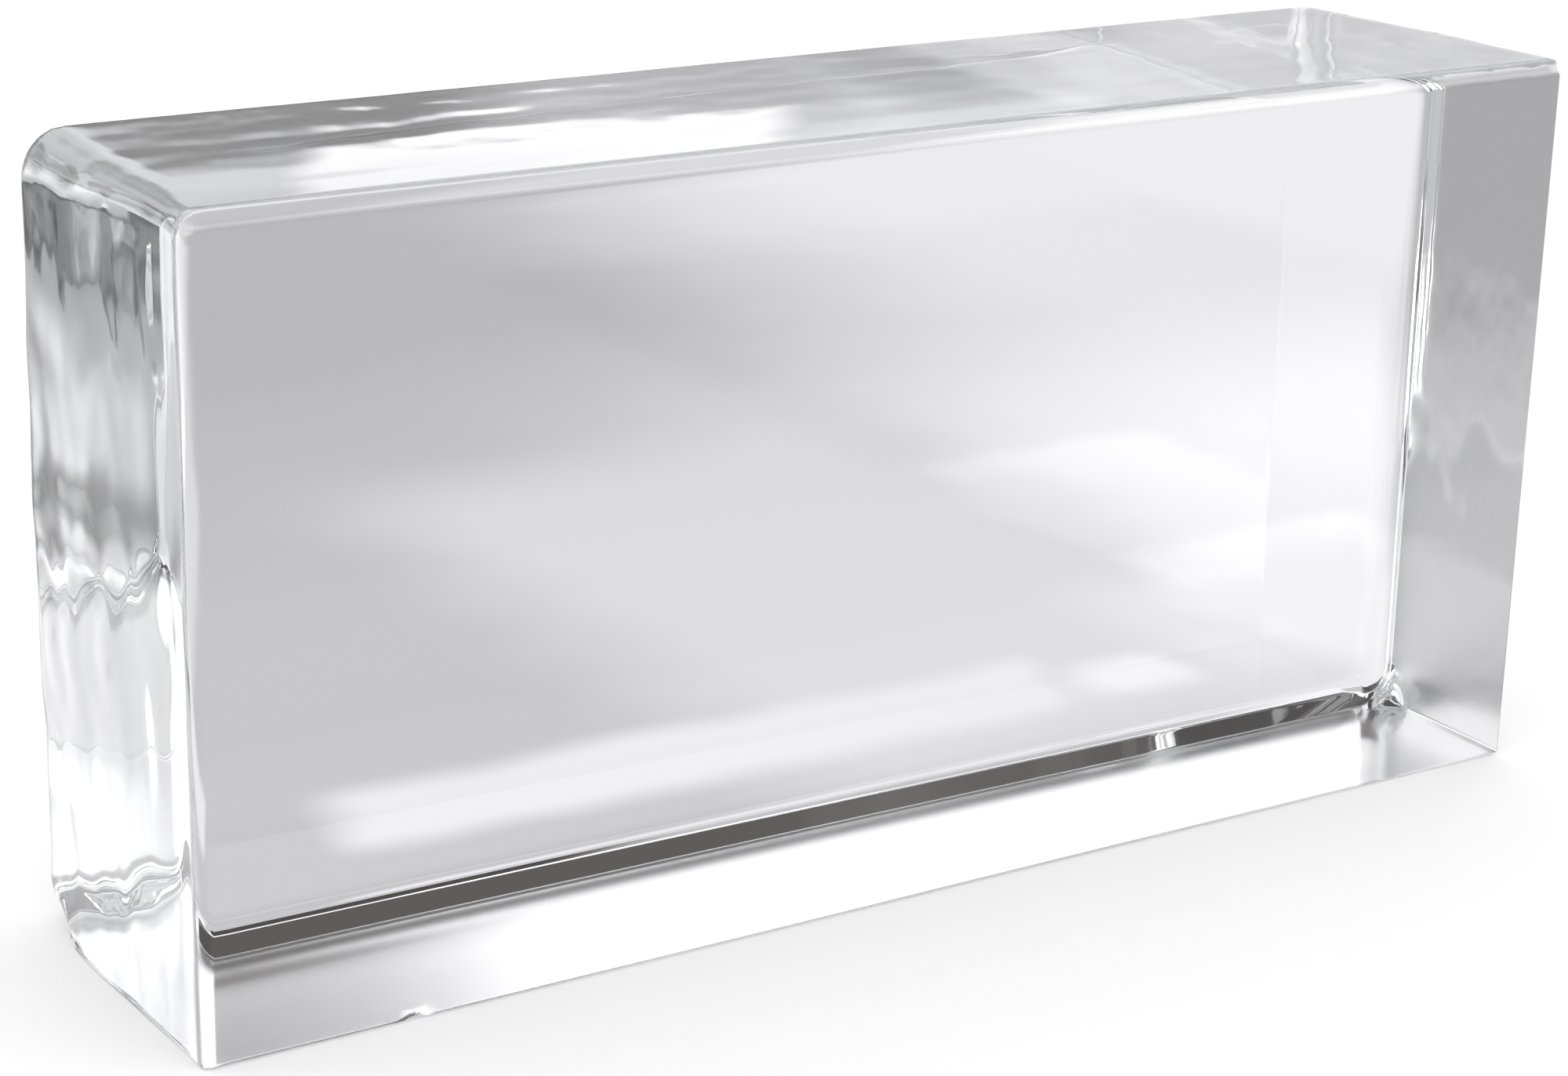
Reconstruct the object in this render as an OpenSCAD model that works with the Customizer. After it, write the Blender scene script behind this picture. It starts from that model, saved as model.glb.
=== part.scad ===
// Solid cast glass brick, standing on its long narrow side.
// X runs along the length, Y through the thickness from front (-Y) to back (+Y), Z is up.
// The origin is the middle of the bottom bed.

/* [Brick] */
// Length from end to end
length = 200; // [120:1:300]
// Height between the bottom bed and the top bed
height = 100; // [60:1:200]
// Thickness between the front face and the back face
thickness = 50; // [30:1:100]

/* [Moulded edges] */
// Radius round the back face and its corners, left by the floor of the mould
back_radius = 6; // [2:0.5:12]
// Radius round the front face and its corners, the fire-polished open side of the mould
front_radius = 2.25; // [0.5:0.25:6]

/* [Grinding] */
// Glass ground off the bottom of the casting, which leaves the edges of the bottom bed almost sharp
bed_ground = 1.5; // [0:0.25:4]
// Glass ground off the right end of the casting, which leaves its edges almost sharp too
end_ground = 1.5; // [0:0.25:4]

/* [Hidden] */
// Steps round a full circle of a moulded edge, a multiple of four
edge_steps = 32;
// Room that the grinding leaves round the moulded sides, which it doesn't touch
side_room = 1;

// Ball with a point at each of its six ends, so that the faces it carries lie at their full size
module corner_ball(radius) {
    rotate_extrude($fn = edge_steps)
        intersection() {
            circle(radius, $fn = edge_steps);
            translate([0, -radius])
                square([radius, 2 * radius]);
        }
}

// The four corners of the casting's front or back face: each ball lies its own radius inside its sides
module face_corners(radius, centre_y) {
    ends = [-length / 2 + radius, length / 2 + end_ground - radius];
    beds = [radius - bed_ground, height - radius];
    for (x = ends, z = beds)
        translate([x, centre_y, z])
            corner_ball(radius);
}

// The casting from the mould: rounds along the front and back, depth edges that taper between the two
module casting() {
    hull() {
        face_corners(front_radius, front_radius - thickness / 2);
        face_corners(back_radius, thickness / 2 - back_radius);
    }
}

// What grinding leaves of any casting: all that lies above the bottom bed and left of the right end
module ground_limits() {
    translate([-length / 2 - side_room, -thickness / 2 - side_room, 0])
        cube([length + side_room, thickness + 2 * side_room, height + side_room]);
}

// The finished brick: the casting with its bottom bed and its right end ground flat
module glass_brick() {
    color("lavender")
        intersection() {
            casting();
            ground_limits();
        }
}

glass_brick();
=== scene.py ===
import math

import bpy
import numpy as np
from mathutils import Matrix, Vector


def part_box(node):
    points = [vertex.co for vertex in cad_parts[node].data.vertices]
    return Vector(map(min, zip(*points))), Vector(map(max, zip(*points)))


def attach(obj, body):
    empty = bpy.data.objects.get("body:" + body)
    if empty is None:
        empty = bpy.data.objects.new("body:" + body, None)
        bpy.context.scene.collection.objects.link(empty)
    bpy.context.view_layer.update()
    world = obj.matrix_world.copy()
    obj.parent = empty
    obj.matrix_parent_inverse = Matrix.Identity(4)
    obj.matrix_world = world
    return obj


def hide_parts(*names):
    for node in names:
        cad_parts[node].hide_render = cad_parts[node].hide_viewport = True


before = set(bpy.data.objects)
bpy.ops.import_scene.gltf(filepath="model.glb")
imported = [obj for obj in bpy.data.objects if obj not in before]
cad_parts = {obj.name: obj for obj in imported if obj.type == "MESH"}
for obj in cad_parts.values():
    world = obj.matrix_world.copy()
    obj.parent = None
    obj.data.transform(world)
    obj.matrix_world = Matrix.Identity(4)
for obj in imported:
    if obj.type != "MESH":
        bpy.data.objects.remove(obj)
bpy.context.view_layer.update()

bl_info = {
    "name": "Cast Glass Brick",
    "version": (1, 0, 0),
    "blender": (4, 5, 0),
    "location": "View3D > Sidebar > Glass Brick",
    "description": "Models a solid cast glass brick and the studio it is photographed in",
    "category": "Object",
}

MM = 0.001
LOW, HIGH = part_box("glass_brick")

# Settings that many shader nodes share
EASED = {"interpolation_type": "SMOOTHSTEP"}
MULTIPLY = {"operation": "MULTIPLY"}


def linear(hex_colour):
    """Linear colour, with alpha 1, of an sRGB hex value."""
    channels = [int(hex_colour[i:i + 2], 16) / 255 for i in (1, 3, 5)]
    return [c / 12.92 if c <= 0.04045 else ((c + 0.055) / 1.055) ** 2.4 for c in channels] + [1.0]


def add_node(tree, kind, settings=None, inputs=None):
    """Adds a shader node with its settings. An input, by name or number, is either a socket to read or a
    value to set."""
    node = tree.nodes.new(kind)
    for name, value in (settings or {}).items():
        setattr(node, name, value)
    for key, value in (inputs or {}).items():
        if isinstance(value, bpy.types.NodeSocket):
            tree.links.new(value, node.inputs[key])
        else:
            node.inputs[key].default_value = value
    return node


def new_material(name):
    """An empty node material, and its node tree."""
    material = bpy.data.materials.new(name)
    material.use_nodes = True
    material.node_tree.nodes.clear()
    return material, material.node_tree


class BrickProperties(bpy.types.PropertyGroup):
    """Sizes of the brick's edges, its casting marks and its mesh."""

    back_radius: bpy.props.FloatProperty(
        name="Back radius", description="Radius round the back face, left by the floor of the mould",
        default=5.0 * MM, unit="LENGTH")
    back_right_radius: bpy.props.FloatProperty(
        name="Back right radius", description="Radius of the back edge at the ground right end",
        default=5.4 * MM, unit="LENGTH")
    slope_angle: bpy.props.FloatProperty(
        name="Slope angle", description="Turn from the back face to the slope at the back of the bed",
        default=math.radians(58), subtype="ANGLE")
    slope_length: bpy.props.FloatProperty(
        name="Slope length", description="Length of the flat slope at the back of the bottom bed",
        default=3.4 * MM, unit="LENGTH")
    slope_radius: bpy.props.FloatProperty(
        name="Slope radius", description="Radius between the back face and the slope below it",
        default=3.0 * MM, unit="LENGTH")
    corner_radius: bpy.props.FloatProperty(
        name="Corner radius", description="Radius of the corners of the outline at the back",
        default=6.5 * MM, unit="LENGTH")
    top_radius: bpy.props.FloatProperty(
        name="Top radius", description="Radius of the edge between the front face and the top",
        default=2.5 * MM, unit="LENGTH")
    left_radius: bpy.props.FloatProperty(
        name="Left radius", description="Radius of the edge between the front face and the left end",
        default=2.0 * MM, unit="LENGTH")
    depth_radius: bpy.props.FloatProperty(
        name="Depth radius", description="Radius at the front of the upper left edge through the thickness",
        default=2.8 * MM, unit="LENGTH")
    arris: bpy.props.FloatProperty(
        name="Arris", description="Radius of the almost sharp edges of the ground bottom bed and right end",
        default=0.6 * MM, unit="LENGTH")
    flare: bpy.props.FloatProperty(
        name="Flare", description="Length over which a sharp bottom edge opens out to the corner radius",
        default=8.0 * MM, unit="LENGTH")
    edge_segments: bpy.props.IntProperty(
        name="Edge segments", description="Steps round each rounded edge", default=20, min=4)
    pitch: bpy.props.FloatProperty(
        name="Mesh pitch", description="Distance between mesh lines on the flat faces",
        default=1.25 * MM, unit="LENGTH")
    left_crown: bpy.props.FloatProperty(
        name="Left crown", description="Height of the ridge of the left end over its front and back edges",
        default=0.7 * MM, unit="LENGTH")
    top_crown: bpy.props.FloatProperty(
        name="Top crown", description="Fall of the top towards its front edge",
        default=0.45 * MM, unit="LENGTH")
    streak_depth: bpy.props.FloatProperty(
        name="Streak depth", description="Depth of the upright chill streaks on the left end",
        default=0.55 * MM, unit="LENGTH")
    fold_depth: bpy.props.FloatProperty(
        name="Fold depth", description="Depth of the level chill folds on the left end",
        default=0.7 * MM, unit="LENGTH")
    top_depth: bpy.props.FloatProperty(
        name="Top streak depth", description="Depth of the long chill streaks on the top",
        default=0.11 * MM, unit="LENGTH")
    ripple_depth: bpy.props.FloatProperty(
        name="Ripple depth", description="Depth of the small chill ripples at the back of the left end",
        default=0.4 * MM, unit="LENGTH")
    bed_roughness: bpy.props.FloatProperty(
        name="Bed roughness", description="Roughness of the finely ground bottom bed",
        default=0.18, subtype="FACTOR")
    end_roughness: bpy.props.FloatProperty(
        name="End roughness", description="Roughness of the right end low down, where it is coarse",
        default=0.55, subtype="FACTOR")
    end_polish: bpy.props.FloatProperty(
        name="End polish", description="Share of that roughness left higher up, where it is worn smoother",
        default=0.12, subtype="FACTOR")
    foot_polish: bpy.props.FloatProperty(
        name="Foot polish", description="Share of that roughness left in the lowest millimetres of the end",
        default=0.4, subtype="FACTOR")
    end_depth: bpy.props.FloatProperty(
        name="End hollows", description="Depth of the shallow hollows that grinding left in the right end",
        default=0.3 * MM, unit="LENGTH")
    tint: bpy.props.StringProperty(
        name="Glass tint", description="Colour that white light takes on over a metre of the glass",
        default="#E2ECEA")


class StageProperties(bpy.types.PropertyGroup):
    """Camera and floor of the studio."""

    azimuth: bpy.props.FloatProperty(
        name="Azimuth", description="Direction the camera looks in, clockwise from straight on the front",
        default=math.radians(33.054), subtype="ANGLE")
    elevation: bpy.props.FloatProperty(
        name="Elevation", description="Angle that the camera looks down at",
        default=math.radians(18.361), subtype="ANGLE")
    roll: bpy.props.FloatProperty(
        name="Roll", description="Turn of the camera about its line of sight",
        default=math.radians(1.444), subtype="ANGLE")
    camera_place: bpy.props.FloatVectorProperty(
        name="Camera place", description="Camera position from the middle of the bottom bed",
        default=(-244.19 * MM, -366.01 * MM, 186.73 * MM), subtype="TRANSLATION", unit="LENGTH")
    lens: bpy.props.FloatProperty(
        name="Lens", description="Focal length on a sensor 36 mm wide", default=81.95, unit="CAMERA")
    floor_colour: bpy.props.StringProperty(
        name="Floor colour", description="Colour of the matt paper floor", default="#FDFDFD")
    floor_lift: bpy.props.FloatProperty(
        name="Floor lift", description="Light added to the floor in the camera's view alone", default=0.18)


def smooth_step(share):
    """Eases from 0 to 1."""
    share = np.clip(share, 0, 1)
    return share * share * (3 - 2 * share)


def read_vectors(collection, name):
    """One row of three numbers for each vertex of a mesh."""
    flat = np.empty(len(collection) * 3)
    collection.foreach_get(name, flat)
    return flat.reshape(-1, 3)


def start_editing(piece):
    """Selects one piece alone, with nothing of its mesh selected."""
    bpy.ops.object.select_all(action="DESELECT")
    piece.select_set(True)
    bpy.context.view_layer.objects.active = piece
    bpy.ops.object.mode_set(mode="EDIT")
    bpy.ops.mesh.select_mode(type="EDGE")
    bpy.ops.mesh.select_all(action="DESELECT")
    bpy.ops.object.mode_set(mode="OBJECT")


def select_edges(piece, wanted):
    """Selects the edges whose two ends pass a test, and goes to edit mode."""
    mesh = piece.data
    for edge in mesh.edges:
        a, b = (mesh.vertices[i].co for i in edge.vertices)
        edge.select = wanted(a, b)
    bpy.ops.object.mode_set(mode="EDIT")


def along(axis, a, b):
    """True where the edge from a to b runs along one axis."""
    nearly_all = 0.999
    step = b - a
    return abs(step[axis]) > nearly_all * step.length


# Chips: a point on the edge, the way out of the glass there, the radius of the shell shape, and its depth.
CHIPS = (
    ((-72 * MM, LOW.y, LOW.z), (0, -1, -1), 2.0 * MM, 0.8 * MM),
    ((HIGH.x, LOW.y, HIGH.z - 1.2 * MM), (1, -1, 0.6), 2.2 * MM, 0.9 * MM),
)


class CastBrick(bpy.types.Operator):
    """Models the cast glass brick: rounded edges, chill ripples and chips"""

    bl_idname = "glass_brick.cast_brick"
    bl_label = "Cast the Brick"

    def execute(self, context):
        sizes = context.scene.brick
        bpy.ops.object.select_all(action="DESELECT")
        bpy.ops.mesh.primitive_cube_add(size=1, location=(0, 0, 0))
        piece = context.object
        piece.name = "cast_glass_brick"
        bpy.ops.object.mode_set(mode="EDIT")
        bpy.ops.transform.resize(value=HIGH - LOW)
        bpy.ops.transform.translate(value=(LOW + HIGH) / 2)
        bpy.ops.object.mode_set(mode="OBJECT")
        self.round_edges(piece, sizes)
        self.cut_grid(piece, sizes)
        points = read_vectors(piece.data.vertices, "co")
        points = slope_bed_edge(points, sizes)
        points = round_outline(points, sizes)
        points = crown_sides(points, sizes)
        piece.data.vertices.foreach_set("co", points.ravel())
        piece.data.update()
        self.ripple_sides(piece, sizes)
        for chip in CHIPS:
            self.chip_edge(piece, *chip)
        piece.data.materials.append(cast_glass(sizes))
        bpy.ops.object.shade_smooth()
        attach(piece, "root")
        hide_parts("glass_brick")
        return {"FINISHED"}

    def round_edges(self, piece, sizes):
        """Bevels all edges at once, each by the width of its own radius."""
        widths = piece.data.attributes.new("bevel_weight_edge", "FLOAT", "EDGE")
        for edge in piece.data.edges:
            middle = sum((piece.data.vertices[i].co for i in edge.vertices), Vector()) / 2
            widths.data[edge.index].value = edge_radius(middle, sizes) / sizes.back_radius
        bevel = piece.modifiers.new("Moulded edges", "BEVEL")
        bevel.limit_method = "WEIGHT"
        bevel.width = sizes.back_radius
        bevel.segments = sizes.edge_segments
        bpy.ops.object.modifier_apply(modifier=bevel.name)

    def cut_grid(self, piece, sizes):
        """Cuts the flat faces into a fine grid, so that ripples can be shaped in them."""
        for axis in range(3):
            start_editing(piece)
            cuts = round((HIGH[axis] - LOW[axis]) / sizes.pitch)
            half_side = (HIGH[axis] - LOW[axis]) / 2
            select_edges(piece, lambda a, b: along(axis, a, b) and (b - a).length > half_side)
            bpy.ops.mesh.subdivide(number_cuts=cuts)
            bpy.ops.object.mode_set(mode="OBJECT")

    def ripple_sides(self, piece, sizes):
        """Chill marks that the mould left on the sides, pressed inwards from the full size. Each kind has
        the length of its marks along X, Y and Z in millimetres, its depth, the millimetres from the front
        over which it comes in, and its share on the left end, the back and the top."""
        marks = (
            ("upright streaks", (20, 8, 30), sizes.streak_depth, 6, (1.0, 0.0, 0.0)),
            ("level folds", (20, 30, 12), sizes.fold_depth, 6, (1.0, 0.0, 0.0)),
            ("long streaks", (60, 7, 20), sizes.top_depth, 6, (0.0, 0.1, 1.0)),
            ("ripples", (5, 4, 8), sizes.ripple_depth, 45, (1.0, 0.03, 0.2)),
        )
        for name, lengths, depth, reach, shares in marks:
            group = piece.vertex_groups.new(name=name)
            for vertex, weight in enumerate(side_shares(piece, reach * MM, shares).tolist()):
                group.add([vertex], weight, "REPLACE")
            bpy.ops.object.empty_add()
            grain = bpy.context.object
            grain.scale = Vector(lengths) * MM
            texture = bpy.data.textures.new(name, "CLOUDS")
            texture.noise_basis = "IMPROVED_PERLIN"
            texture.noise_scale = 1.0
            texture.noise_depth = 0
            bpy.context.view_layer.update()
            bpy.ops.object.select_all(action="DESELECT")
            piece.select_set(True)
            bpy.context.view_layer.objects.active = piece
            wave = piece.modifiers.new(name, "DISPLACE")
            wave.texture = texture
            wave.texture_coords = "OBJECT"
            wave.texture_coords_object = grain
            wave.mid_level = 1.0
            wave.strength = depth
            wave.vertex_group = group.name
            bpy.ops.object.modifier_apply(modifier=wave.name)
            bpy.data.objects.remove(grain)

    def chip_edge(self, piece, place, outward, radius, depth):
        """Breaks a shell-shaped chip out of an edge: the hollow of a ball pressed into a finer mesh. The
        faces round that mesh, which have extra corners, are split evenly."""
        centre = Vector(place) + Vector(outward).normalized() * (radius - depth)
        finer = 1.5 * radius
        start_editing(piece)
        select_edges(piece, lambda a, b: max((a - centre).length, (b - centre).length) < finer)
        bpy.ops.mesh.subdivide(number_cuts=3)
        bpy.ops.object.mode_set(mode="OBJECT")
        for vertex in piece.data.vertices:
            step = vertex.co - centre
            if step.length < radius:
                vertex.co = centre + step.normalized() * radius
        border = piece.modifiers.new("Chip border", "TRIANGULATE")
        border.min_vertices = 5
        border.ngon_method = "BEAUTY"
        bpy.ops.object.modifier_apply(modifier=border.name)


def side_shares(piece, reach, shares):
    """For each vertex, the share of a mark that its side takes. Marks come in over the reach from the
    fire-polished front, where only a trace of them is left."""
    trace = 0.03
    place = read_vectors(piece.data.vertices, "co")
    normal = read_vectors(piece.data.vertex_normals, "vector")
    facing = np.column_stack([-normal[:, 0], normal[:, 1], normal[:, 2]])
    fade = trace + (1 - trace) * smooth_step((place[:, 1] - LOW.y) / reach)
    return (np.maximum(facing, 0) ** 2) @ shares * fade


def edge_radius(middle, sizes):
    """Radius of the edge of the plain box that has this middle."""
    hair = 0.01 * MM
    on_top = middle.z > HIGH.z - hair
    if middle.y > HIGH.y - hair:
        return sizes.back_right_radius if middle.x > HIGH.x - hair else sizes.back_radius
    if middle.y > LOW.y + hair:
        return sizes.depth_radius if on_top and middle.x < 0 else sizes.arris
    if on_top:
        return sizes.top_radius
    return sizes.left_radius if middle.x < LOW.x + hair else sizes.arris


def round_outline(points, sizes):
    """Points drawn in to an outline whose corner radius grows towards the back."""
    half = np.array((HIGH - LOW) / 2)
    middle = np.array((LOW + HIGH) / 2)
    place = points - middle
    right = place[:, 0] > 0
    upper = place[:, 2] > 0
    back = np.where(right, sizes.back_right_radius, sizes.back_radius)
    edge_radii = np.column_stack([back, np.full(len(place), sizes.back_radius)])
    depth = np.maximum(place[:, 1:2] - (half[1] - edge_radii), 0)
    inset = edge_radii - np.sqrt(np.maximum(edge_radii ** 2 - depth ** 2, 0))
    start = np.where(upper & ~right, sizes.depth_radius, sizes.arris)
    taper = np.clip((place[:, 1] + half[1]) / (2 * half[1] - sizes.back_radius), 0, 1)
    flare = smooth_step((place[:, 1] - half[1] + sizes.back_radius + sizes.flare) / sizes.flare)
    radius = start + np.where(upper, taper, flare) * (sizes.corner_radius - start) - inset.mean(axis=1)
    radius = np.maximum(radius, sizes.arris)[:, None]
    centre = half[[0, 2]] - inset - radius
    out = np.abs(place[:, [0, 2]]) - centre
    reach = np.linalg.norm(np.maximum(out, 0), axis=1, keepdims=True)
    in_corner = (out > 0).all(axis=1, keepdims=True) & (reach > radius)
    shrink = radius / np.where(in_corner, reach, radius)
    place[:, [0, 2]] = np.sign(place[:, [0, 2]]) * (centre + out * shrink)
    return place + middle


def crown_sides(points, sizes):
    """Draws in the front of the top, and both sides of the left end from its soft upright ridge. The place
    and the softness of the ridge are shares of half the depth."""
    ridge = 0.25
    softness = 0.12
    half_depth = (HIGH.y - LOW.y) / 2
    off_middle = (points[:, 1] - (LOW.y + HIGH.y) / 2) / half_depth
    off_ridge = np.hypot(off_middle - ridge, softness) - softness
    reach = 2 * sizes.back_radius
    near_left = 1 - smooth_step((points[:, 0] - LOW.x) / reach)
    near_top = 1 - smooth_step((HIGH.z - points[:, 2]) / reach)
    points[:, 0] += sizes.left_crown * off_ridge * near_left
    points[:, 2] -= sizes.top_crown * np.minimum(off_middle, 0) ** 2 * near_top
    return points


def slope_profile(sizes):
    """The back edge of the bottom bed, as steps in from the back face and up from the bed: a radius, a flat
    slope and an arris."""
    count = 12
    turn = np.linspace(0, 1, count)
    upper = turn * sizes.slope_angle
    lower = sizes.slope_angle + turn * (math.pi / 2 - sizes.slope_angle)
    reach = np.concatenate([sizes.slope_radius * (1 - np.cos(upper)),
                            sizes.arris * (math.cos(sizes.slope_angle) - np.cos(lower))])
    fall = np.concatenate([sizes.slope_radius * np.sin(upper),
                           sizes.arris * (np.sin(lower) - math.sin(sizes.slope_angle))])
    for steps, slope in ((reach, math.sin(sizes.slope_angle)), (fall, math.cos(sizes.slope_angle))):
        steps[count:] += steps[count - 1] + sizes.slope_length * slope
    return reach, fall[-1] - fall


def slope_bed_edge(points, sizes):
    """Turns the round back edge of the bottom bed into a radius with a flat slope below it."""
    reach, rise = slope_profile(sizes)
    along_profile = np.concatenate([[0], np.cumsum(np.hypot(np.diff(reach), np.diff(rise)))])
    rounding = 0.0001 * MM
    smallest = 1e-6
    radius = sizes.back_radius
    behind = points[:, 1] - HIGH.y + radius
    below = LOW.z + radius - points[:, 2]
    in_edge = (behind >= -rounding) & (below >= -rounding)
    share = np.arctan2(below, behind) / (math.pi / 2) * along_profile[-1]
    size = np.clip(np.hypot(behind, below) / radius, smallest, 1)
    shift_y = radius - behind / size - np.interp(share, along_profile, reach)
    shift_z = below / size - radius + np.interp(share, along_profile, rise)
    points[:, 1] += np.where(in_edge, shift_y * size, 0)
    points[:, 2] += np.where(in_edge, shift_z * size, 0)
    return points


# The ground sides, in metres: how deep the matt finish of the bed and of the end goes, the heights between
# which the end turns from coarse to worn, those between which its smooth foot ends, the size of the smears
# that grinding left, and how far these shift the line where the end is worn.
BED_SKIN = (0.05 * MM, 0.3 * MM)
END_SKIN = (0.01 * MM, 0.07 * MM)
WORN_BAND = (37 * MM, 49 * MM)
FOOT_BAND = (3 * MM, 9 * MM)
SMEAR_SIZE = 14 * MM
SMEAR_SHIFT = 50 * MM


def cast_glass(sizes):
    """Clear soda-lime glass, cast and fire-polished: a bright, faintly cool body with sharp highlights on
    its rounded edges. Its bottom bed and right end are ground flat, and show as soft matt planes through
    the clear glass. The end is coarse low down, and smoother at its foot and above a ragged line."""
    material, tree = new_material("cast_soda_lime_glass")
    place = add_node(tree, "ShaderNodeTexCoord").outputs["Object"]
    axes = add_node(tree, "ShaderNodeSeparateXYZ", inputs={"Vector": place})
    height = axes.outputs["Z"]
    smears = add_node(tree, "ShaderNodeTexNoise",
                      inputs={"Vector": place, "Scale": 1 / SMEAR_SIZE, "Detail": 2.0}).outputs[0]
    bed = add_node(tree, "ShaderNodeMapRange", EASED,
                   {"Value": height, "From Min": LOW.z + BED_SKIN[0], "From Max": LOW.z + BED_SKIN[1],
                    "To Min": sizes.bed_roughness, "To Max": 0.0}).outputs[0]
    ragged = add_node(tree, "ShaderNodeMath", {"operation": "MULTIPLY_ADD"},
                      {0: smears, 1: SMEAR_SHIFT, 2: height}).outputs[0]
    wear = add_node(tree, "ShaderNodeMapRange", EASED,
                    {"Value": ragged, "From Min": LOW.z + WORN_BAND[0] + SMEAR_SHIFT / 2,
                     "From Max": LOW.z + WORN_BAND[1] + SMEAR_SHIFT / 2, "To Min": sizes.end_roughness,
                     "To Max": sizes.end_roughness * sizes.end_polish}).outputs[0]
    foot = add_node(tree, "ShaderNodeMapRange", EASED,
                    {"Value": height, "From Min": LOW.z + FOOT_BAND[0], "From Max": LOW.z + FOOT_BAND[1],
                     "To Min": sizes.foot_polish, "To Max": 1.0}).outputs[0]
    at_end = add_node(tree, "ShaderNodeMapRange", EASED,
                      {"Value": axes.outputs["X"], "From Min": HIGH.x - END_SKIN[1],
                       "From Max": HIGH.x - END_SKIN[0]}).outputs[0]
    worn = add_node(tree, "ShaderNodeMath", MULTIPLY, {0: foot, 1: wear}).outputs[0]
    end = add_node(tree, "ShaderNodeMath", MULTIPLY, {0: at_end, 1: worn}).outputs[0]
    ground = add_node(tree, "ShaderNodeMath", {"operation": "MAXIMUM"}, {0: bed, 1: end}).outputs[0]
    hollows = add_node(tree, "ShaderNodeBump",
                       inputs={"Strength": at_end, "Distance": sizes.end_depth, "Height": smears})
    body = add_node(tree, "ShaderNodeBsdfPrincipled",
                    inputs={"Base Color": (1, 1, 1, 1), "Roughness": ground, "IOR": 1.52,
                            "Transmission Weight": 1.0, "Normal": hollows.outputs[0]})
    tint = add_node(tree, "ShaderNodeVolumeAbsorption",
                    inputs={"Color": linear(sizes.tint), "Density": 1.0})
    add_node(tree, "ShaderNodeOutputMaterial",
             inputs={"Surface": body.outputs["BSDF"], "Volume": tint.outputs[0]})
    return material


# The stage, in metres: side and level of the floor and of the table top, which lie just under the brick so
# that no two faces share a plane, and the radius of the tent.
FLOOR_SIZE = 8.0
FLOOR_LEVEL = -0.2 * MM
TABLE_SIZE = 5.8
TABLE_LEVEL = -0.1 * MM
TENT_RADIUS = 3.0

# Bounces that light may take to find its way out of the glass
GLASS_BOUNCES = 32


class SetStage(bpy.types.Operator):
    """Sets the camera, the pale floor and the soft studio light"""

    bl_idname = "glass_brick.set_stage"
    bl_label = "Set the Stage"

    def execute(self, context):
        stage = context.scene.stage
        scene = context.scene
        scene.view_settings.view_transform = "Standard"
        scene.cycles.max_bounces = GLASS_BOUNCES
        scene.cycles.transmission_bounces = GLASS_BOUNCES
        scene.cycles.glossy_bounces = GLASS_BOUNCES
        scene.cycles.diffuse_bounces = 4
        self.place_camera(scene, stage)
        self.light_studio(scene)
        self.lay_floor(stage)
        self.raise_tent()
        return {"FINISHED"}

    def place_camera(self, scene, stage):
        """The camera, a little above the brick and to the left of its front."""
        data = bpy.data.cameras.new("camera")
        data.lens = stage.lens
        data.sensor_width = 36
        camera = bpy.data.objects.new("camera", data)
        scene.collection.objects.link(camera)
        heading = Matrix.Rotation(-stage.azimuth, 4, "Z")
        tilt = Matrix.Rotation(math.pi / 2 - stage.elevation, 4, "X")
        roll = Matrix.Rotation(stage.roll, 4, "Z")
        camera.matrix_world = Matrix.Translation(stage.camera_place) @ (heading @ tilt) @ roll
        scene.camera = camera

    def light_studio(self, scene):
        """Even white light from all sides."""
        world = bpy.data.worlds.new("studio")
        scene.world = world
        world.use_nodes = True
        sky = world.node_tree.nodes["Background"]
        sky.inputs["Color"].default_value = (1, 1, 1, 1)
        sky.inputs["Strength"].default_value = 1.0

    def lay_floor(self, stage):
        """The white floor, and on it the table top with painted light and shade, which shows only in the
        glass.
        """
        floor = add_plane("floor", FLOOR_SIZE, FLOOR_LEVEL)
        material, tree = new_material("matt_white_paper")
        paper = add_node(tree, "ShaderNodeBsdfDiffuse", inputs={"Color": linear(stage.floor_colour)})
        path = add_node(tree, "ShaderNodeLightPath")
        lift = add_node(tree, "ShaderNodeMath", MULTIPLY,
                        {0: path.outputs["Is Camera Ray"], 1: stage.floor_lift})
        glow = add_node(tree, "ShaderNodeEmission", inputs={"Strength": lift.outputs[0]})
        white = add_node(tree, "ShaderNodeAddShader", inputs={0: paper.outputs[0], 1: glow.outputs[0]})
        add_node(tree, "ShaderNodeOutputMaterial", inputs={"Surface": white.outputs[0]})
        floor.data.materials.append(material)
        table = add_plane("table_top", TABLE_SIZE, TABLE_LEVEL)
        table.data.materials.append(table_paper())
        show_in_glass_only(table)

    def raise_tent(self):
        """A light tent round the brick, whose bright and dark panels show only in the glass."""
        bpy.ops.object.select_all(action="DESELECT")
        bpy.ops.mesh.primitive_uv_sphere_add(segments=48, ring_count=24, radius=TENT_RADIUS)
        tent = bpy.context.object
        tent.name = "light_tent"
        tent.data.materials.append(tent_cloth())
        show_in_glass_only(tent)


def add_plane(name, size, height):
    """A level plane of the stage, centred under the brick."""
    bpy.ops.object.select_all(action="DESELECT")
    bpy.ops.mesh.primitive_plane_add(size=size, location=(0, 0, height))
    plane = bpy.context.object
    plane.name = name
    return plane


def show_in_glass_only(thing):
    """Leaves a thing of the stage to be seen in and through the glass alone."""
    thing.visible_camera = False
    thing.visible_diffuse = False
    thing.visible_shadow = False
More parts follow.
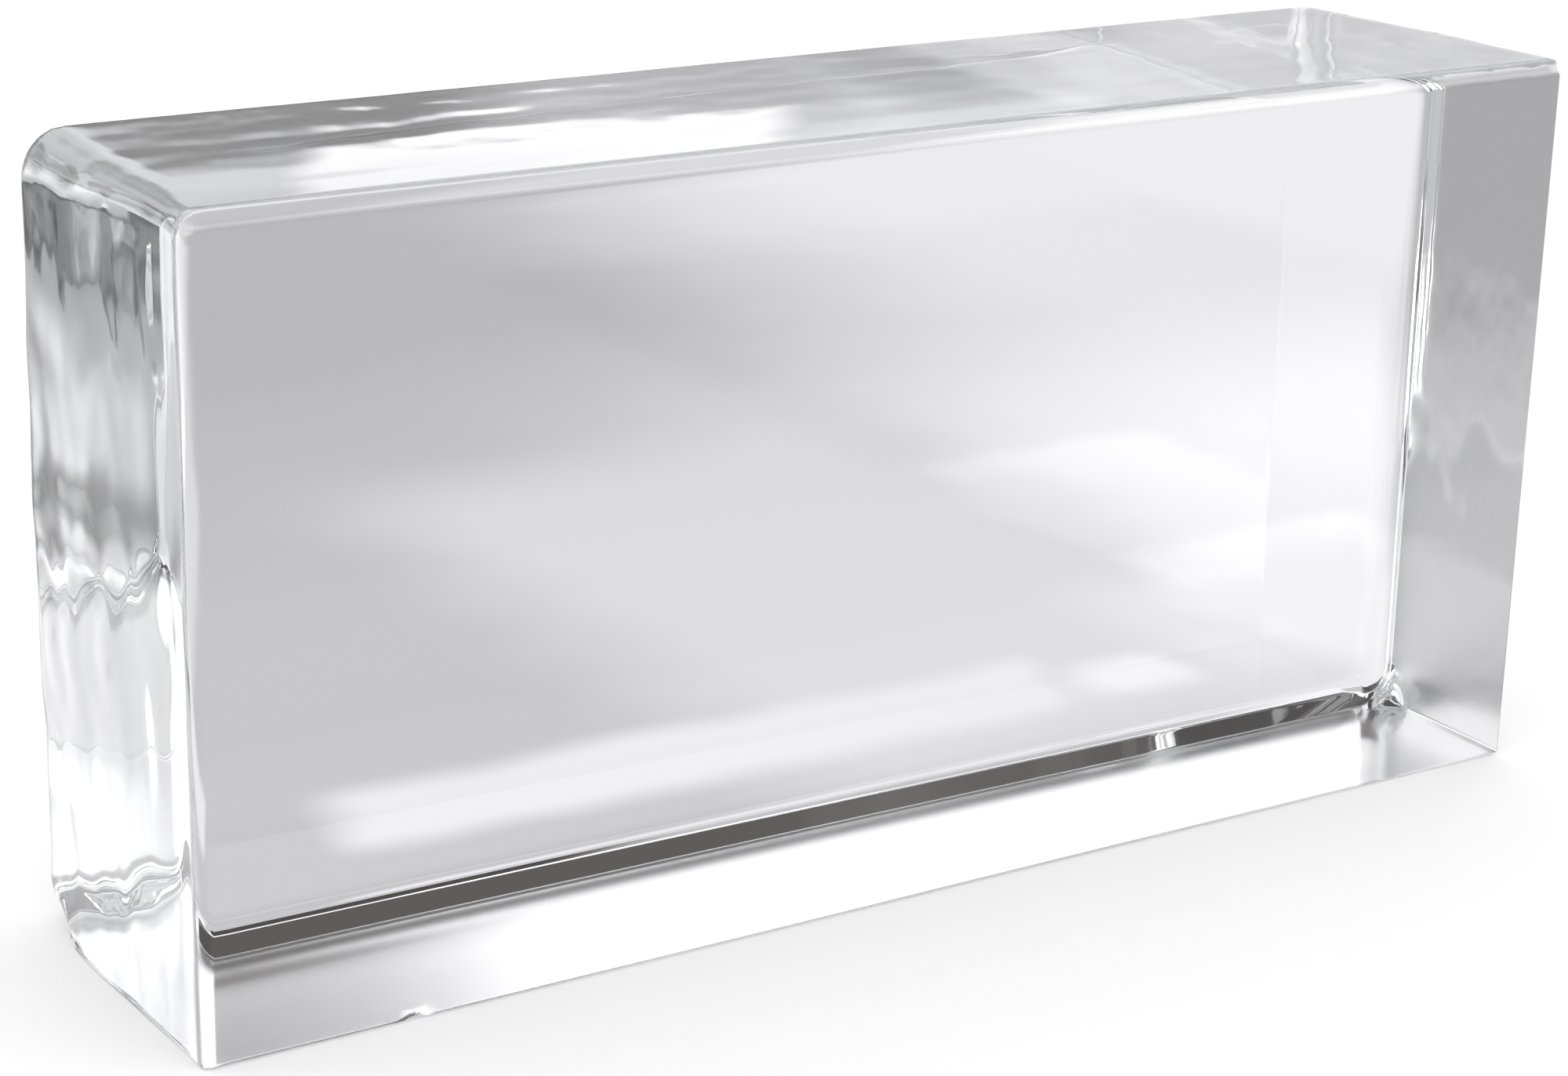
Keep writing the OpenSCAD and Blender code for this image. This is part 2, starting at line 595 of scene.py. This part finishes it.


# Soft patches of light and shade, each one laid over those before it: what it is, the middle and half width
# of its first measure, the low and high end of its second measure, its blur, and its brightness.
# On the table top the patches are painted light and shade, and the measures are X and Y in millimetres,
# which
# # wrap round further out than it reaches.
TABLE_WRAP = 5000.0
TABLE_LIGHT = 0.59
TABLE_PATCHES = (
    ("paler right behind", 900, 815, 0, 2000, 130, 0.93),
    ("cloud of light right behind", 220, 75, 75, 190, 90, 1.1),
    ("shade behind", -500, 650, 210, 2000, 150, 0.5),
    ("deep shade left behind", -900, 850, 170, 2000, 120, 0.4),
    ("deep shade right in front", 190, 90, -330, -125, 24, 0.03),
    ("shade left in front", -190, 50, -160, -45, 24, 0.22),
    # painted light: a brighter patch of the table top in front of the brick
    ("painted light in front", 30, 130, -110, 27, 12, 0.9),
    ("shade under the brick", -10, 84, -27, 26, 8, 0.3),
    # painted light: a bright patch of the table top under the right end
    ("painted light under the right end", 95, 10, -30, 26, 8, 1.2),
    ("sunlit table on the left", -172, 66, 0, 150, 20, 2.2),
    ("shade right of the brick", 146, 46, -40, 28, 16, 0.25),
    ("sunlit paper right in front", 130, 26, -122, -50, 10, 2.3),
    # painted light: a pale patch of the table top behind the brick
    ("painted pale light behind the brick", 60, 52, 24, 178, 40, 0.76),
    ("light right behind the brick", 132, 44, 38, 82, 24, 0.88),
    ("light through the brick", 4, 58, 43, 62, 9, 0.9),
    ("bright end of that light", 74, 9, 43, 55, 8, 0.97),
)

# On the tent they are the azimuth, clockwise from straight behind the brick, and the elevation, in degrees.
TENT_WRAP = 180.0
TENT_LIGHT = 1.1
TENT_PATCHES = (
    ("bright panel right behind", 45, 30, 15, 50, 4, 1.35),
    ("dull panel behind", 0, 27, 23.5, 50, 4, 0.2),
    ("dark panel low in front", 170, 75, -2, 14, 3, 0.10),
    ("dark panel low right in front", 135, 9, -2, 17, 3, 0.15),
    ("bright panel in front", 170, 25, 19, 30, 4, 1.8),
    ("dark roof in front", 145, 65, 32, 77, 3, 0.09),
    ("grey panel on the left", 250, 35, -2, 45, 8, 0.55),
    ("dark panel low on the left", 250, 22, -2, 19, 5, 0.08),
    ("dark roof on the left", 245, 50, 36, 64, 4, 0.04),
    ("grey top", 120, 80, 77, 91, 4, 0.25),
    ("grey panel low right behind", 55, 31, -2, 14, 4, 0.6),
    ("bright panel low far right behind", 70, 31, -2, 15, 3, 1.05),
    ("dark panel low behind", 0, 27, -2, 15, 3, 0.05),
    ("dim roof right behind", 67, 22, 52, 75, 5, 0.35),
    ("white strip low right behind", 28.5, 4.5, 14.5, 18, 1, 2.4),
)


def lit_patches(tree, first, second, wrap, light, patches):
    """Brightness of an evenly lit surface with soft patches of light and shade on it. The first measure
    wraps round at plus and minus wrap."""
    for name, middle, half, low, high, blur, brightness in patches:
        off = add_node(tree, "ShaderNodeMath", {"operation": "SUBTRACT"}, {0: first, 1: middle}).outputs[0]
        off = add_node(tree, "ShaderNodeMath", {"operation": "WRAP"},
                       {0: off, 1: -wrap, 2: wrap}).outputs[0]
        off = add_node(tree, "ShaderNodeMath", {"operation": "ABSOLUTE"}, {0: off}).outputs[0]
        mask = 1.0
        for value, edge, rises in ((off, half, False), (second, low, True), (second, high, False)):
            inside = add_node(tree, "ShaderNodeMapRange", EASED,
                              {"Value": value, "From Min": edge - blur / 2, "From Max": edge + blur / 2,
                               "To Min": float(not rises), "To Max": float(rises)}).outputs[0]
            mask = add_node(tree, "ShaderNodeMath", MULTIPLY, {0: mask, 1: inside}).outputs[0]
        light = add_node(tree, "ShaderNodeMix", {"data_type": "FLOAT", "label": name},
                         {0: mask, 2: light, 3: brightness}).outputs[0]
    return light


def light_surface(material, tree, light):
    """Finishes a lit surface of the studio: a brownish grey in deep shade, a cool white in the light. Rays
    from the glass find its light by themselves, so it isn't sampled as a lamp, which would be slower."""
    deep_shade = 0.1
    half_light = 0.4
    share = add_node(tree, "ShaderNodeMapRange",
                     inputs={"Value": light, "From Min": deep_shade, "From Max": half_light})
    colour = add_node(tree, "ShaderNodeMix", {"data_type": "RGBA"},
                      {0: share.outputs[0], 6: linear("#E6DDD0"), 7: linear("#FCFBFF")}).outputs[2]
    glow = add_node(tree, "ShaderNodeEmission", inputs={"Color": colour, "Strength": light})
    add_node(tree, "ShaderNodeOutputMaterial", inputs={"Surface": glow.outputs[0]})
    material.cycles.emission_sampling = "NONE"


def table_paper():
    """Grey paper on a table whose light and shade are painted in as a glow: paler to the right behind the
    brick and darker to the left behind it. The painted patches of light and shade have wavy edges, as light
    has that came through cast glass."""
    wave_size = 26 * MM
    wave_shift_mm = (14, 5, 0)
    material, tree = new_material("grey_paper_painted_light")
    place = add_node(tree, "ShaderNodeTexCoord").outputs["Object"]
    waves = add_node(tree, "ShaderNodeTexNoise",
                     inputs={"Vector": place, "Scale": 1 / wave_size, "Detail": 1.0})
    waves = add_node(tree, "ShaderNodeVectorMath", {"operation": "SUBTRACT"},
                     {0: waves.outputs["Color"], 1: (0.5, 0.5, 0.5)})
    scaled = add_node(tree, "ShaderNodeVectorMath", {"operation": "SCALE"}, {0: place, "Scale": 1 / MM})
    wavy = add_node(tree, "ShaderNodeVectorMath", {"operation": "MULTIPLY_ADD"},
                    {0: waves.outputs[0], 1: wave_shift_mm, 2: scaled.outputs[0]})
    axes = add_node(tree, "ShaderNodeSeparateXYZ", inputs={"Vector": wavy.outputs[0]})
    # The paper's light and shade are painted into its glow by these patches
    light = lit_patches(tree, axes.outputs["X"], axes.outputs["Y"], TABLE_WRAP, TABLE_LIGHT, TABLE_PATCHES)
    light_surface(material, tree, light)
    return material


def tent_cloth():
    """Evenly lit white cloth with bright and dark panels."""
    material, tree = new_material("lit_tent_cloth")
    place = add_node(tree, "ShaderNodeTexCoord").outputs["Object"]
    outward = add_node(tree, "ShaderNodeVectorMath", {"operation": "NORMALIZE"}, {0: place})
    axes = add_node(tree, "ShaderNodeSeparateXYZ", inputs={"Vector": outward.outputs[0]})
    azimuth = add_node(tree, "ShaderNodeMath", {"operation": "ARCTAN2"},
                       {0: axes.outputs["X"], 1: axes.outputs["Y"]})
    elevation = add_node(tree, "ShaderNodeMath", {"operation": "ARCSINE"}, {0: axes.outputs["Z"]})
    azimuth = add_node(tree, "ShaderNodeMath", {"operation": "DEGREES"}, {0: azimuth.outputs[0]})
    elevation = add_node(tree, "ShaderNodeMath", {"operation": "DEGREES"}, {0: elevation.outputs[0]})
    light = lit_patches(tree, azimuth.outputs[0], elevation.outputs[0], TENT_WRAP, TENT_LIGHT, TENT_PATCHES)
    light_surface(material, tree, light)
    return material


class BrickPanel(bpy.types.Panel):
    """Lists the brick's sizes and the operators that make it"""

    bl_idname = "VIEW3D_PT_glass_brick"
    bl_label = "Glass Brick"
    bl_space_type = "VIEW_3D"
    bl_region_type = "UI"
    bl_category = "Glass Brick"

    def draw(self, context):
        layout = self.layout
        for settings in (context.scene.brick, context.scene.stage):
            for name in settings.bl_rna.properties.keys():
                if name not in ("rna_type", "name"):
                    layout.prop(settings, name)
        layout.operator(CastBrick.bl_idname)
        layout.operator(SetStage.bl_idname)


CLASSES = (BrickProperties, StageProperties, CastBrick, SetStage, BrickPanel)


def register():
    for cls in CLASSES:
        bpy.utils.register_class(cls)
    bpy.types.Scene.brick = bpy.props.PointerProperty(type=BrickProperties)
    bpy.types.Scene.stage = bpy.props.PointerProperty(type=StageProperties)


def unregister():
    del bpy.types.Scene.brick
    del bpy.types.Scene.stage
    for cls in reversed(CLASSES):
        bpy.utils.unregister_class(cls)


def main():
    register()
    bpy.ops.glass_brick.cast_brick()
    bpy.ops.glass_brick.set_stage()


if __name__ == "__main__":
    main()
